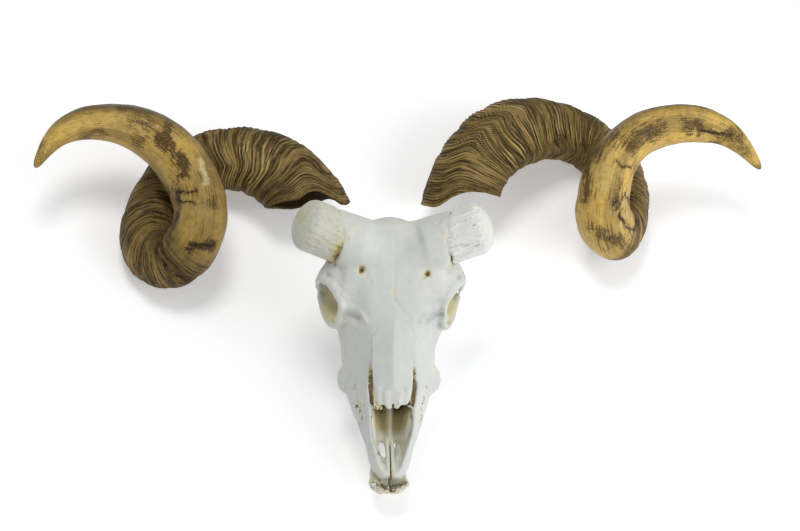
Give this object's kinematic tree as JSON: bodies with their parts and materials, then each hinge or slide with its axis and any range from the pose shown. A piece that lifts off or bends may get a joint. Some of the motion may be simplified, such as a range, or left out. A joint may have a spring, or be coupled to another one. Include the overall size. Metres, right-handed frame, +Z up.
{
  "type": "ram skull with horn sheaths",
  "caption": "Skull of a horned ram with its lower jaw, sawn horn cores, and the curled horn sheaths lying loose behind it.",
  "frame": {"origin": "on the table, under the middle of the whole model's plan", "axes": "+Z up from the table, -Y the way the nose points, +X the animal's left; the horns spread along X"},
  "size_m": [0.7031, 0.4265, 0.1903],
  "materials": {
    "bone": "matte",
    "core": "matte",
    "horn": "satin"
  },
  "bodies": {
    "root": {"cranium": "bone", "nasal_right": "bone", "nasal_left": "bone", "premaxilla_right": "bone", "premaxilla_left": "bone", "mandible_right": "bone", "mandible_left": "bone", "horn_core_right": "core", "horn_core_left": "core", "horn_sheath_right": "horn", "horn_sheath_left": "horn"}
  },
  "joints": []
}
